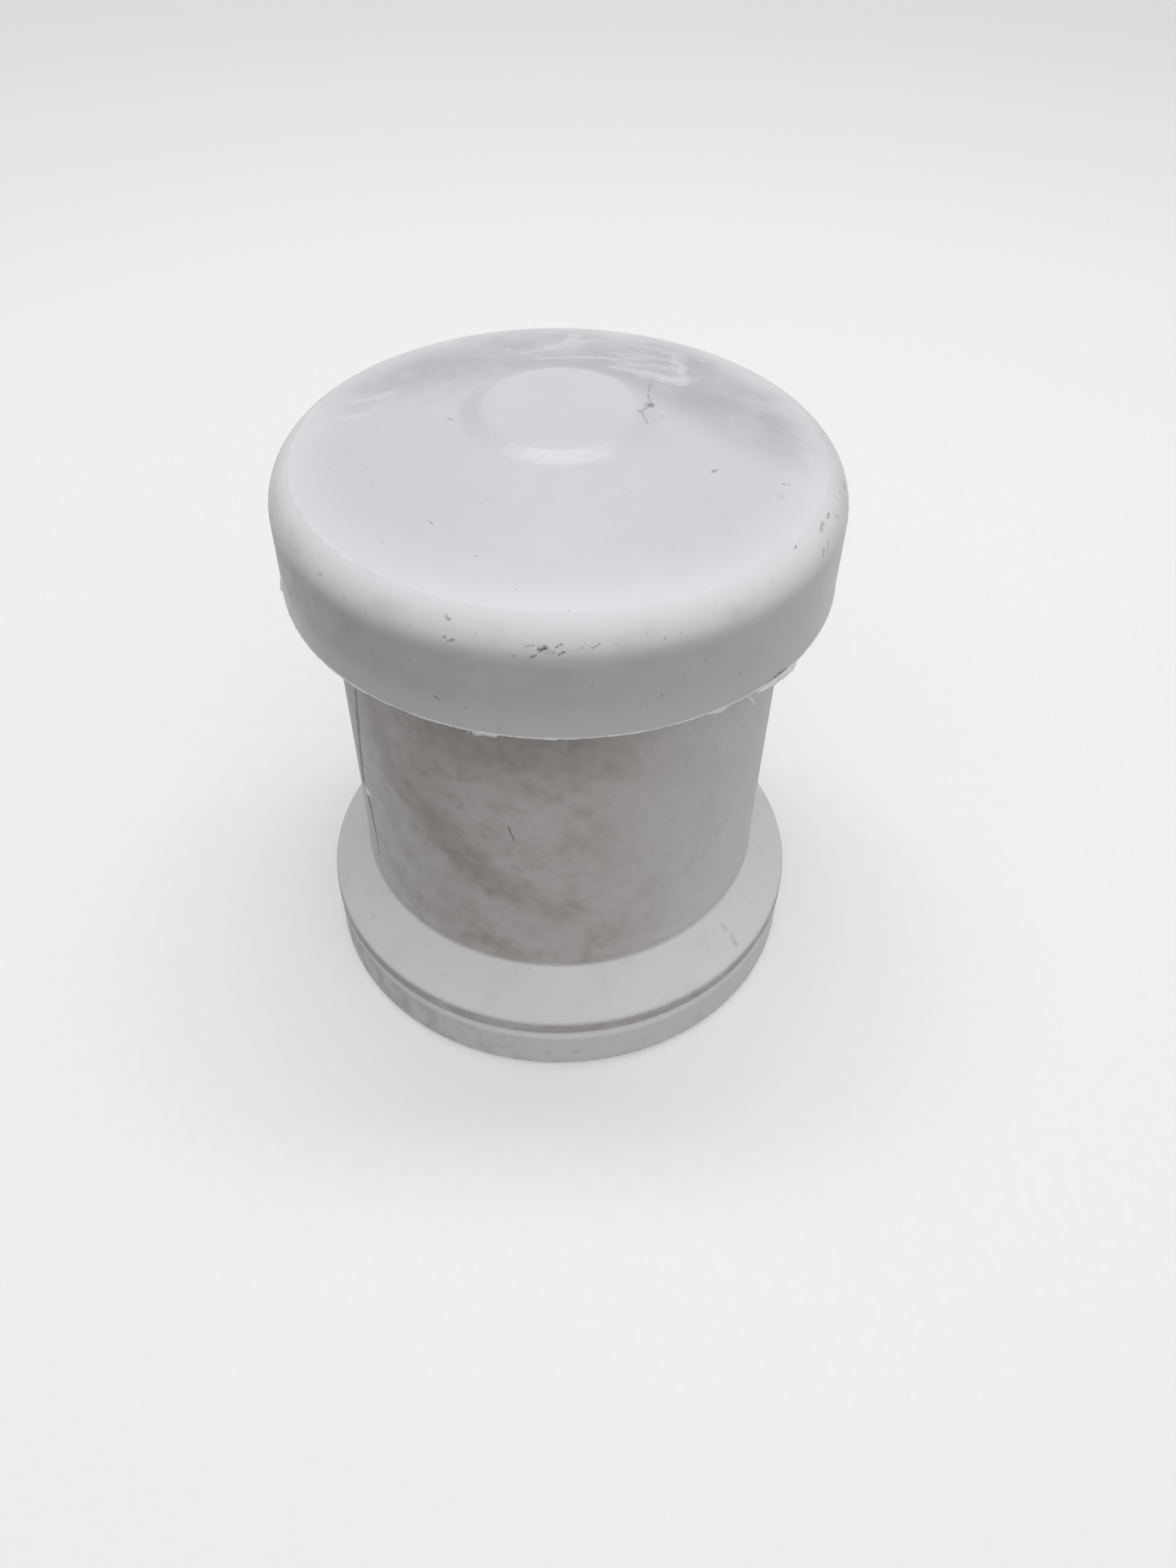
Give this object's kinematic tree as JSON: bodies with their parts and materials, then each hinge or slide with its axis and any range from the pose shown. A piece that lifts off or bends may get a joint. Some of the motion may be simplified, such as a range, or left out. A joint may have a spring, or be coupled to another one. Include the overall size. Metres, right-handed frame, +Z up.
{
  "type": "two-way vent valve",
  "caption": "Push-fit two-way vent valve for the top of a 50 mm waste pipe: mushroom hood, tubular body with a ring-seal socket, and gravity-closed valves that let air in and out.",
  "frame": {"origin": "centre of the lowest face of the retaining ring, on the valve's axis", "axes": "+Z up the axis from the pipe socket to the hood; +X through the opening of the clip on the relief stem"},
  "size_m": [0.0674, 0.0674, 0.0813],
  "materials": {
    "white_plastic": "satin moulded white, soiled",
    "hood_plastic": "semi-gloss moulded white, scuffed",
    "valve_plastic": "smooth moulded",
    "seal_rubber": "matt black rubber",
    "valve_rubber": "soft dark rubber",
    "clip_steel": "spring steel"
  },
  "bodies": {
    "housing": {"body": "white_plastic", "retaining_ring": "white_plastic", "pipe_seal": "seal_rubber", "throat_cup": "white_plastic", "cup_gasket": "seal_rubber", "intake_ring": "white_plastic", "cover": "white_plastic", "cover_seal": "seal_rubber", "hood": "hood_plastic"},
    "intake_valve": {"floating_ring": "valve_plastic", "floating_ring_face": "valve_rubber"},
    "relief_valve": {"relief_disc": "valve_plastic", "relief_face": "valve_rubber", "stem_clip": "clip_steel"}
  },
  "joints": [
    {"name": "intake_lift", "type": "slide", "parent": "housing", "child": "intake_valve", "axis": [0, 0, 1], "range_m": [0, 0.0023]},
    {"name": "relief_lift", "type": "slide", "parent": "housing", "child": "relief_valve", "axis": [0, 0, 1], "range_m": [0, 0.0024]}
  ]
}
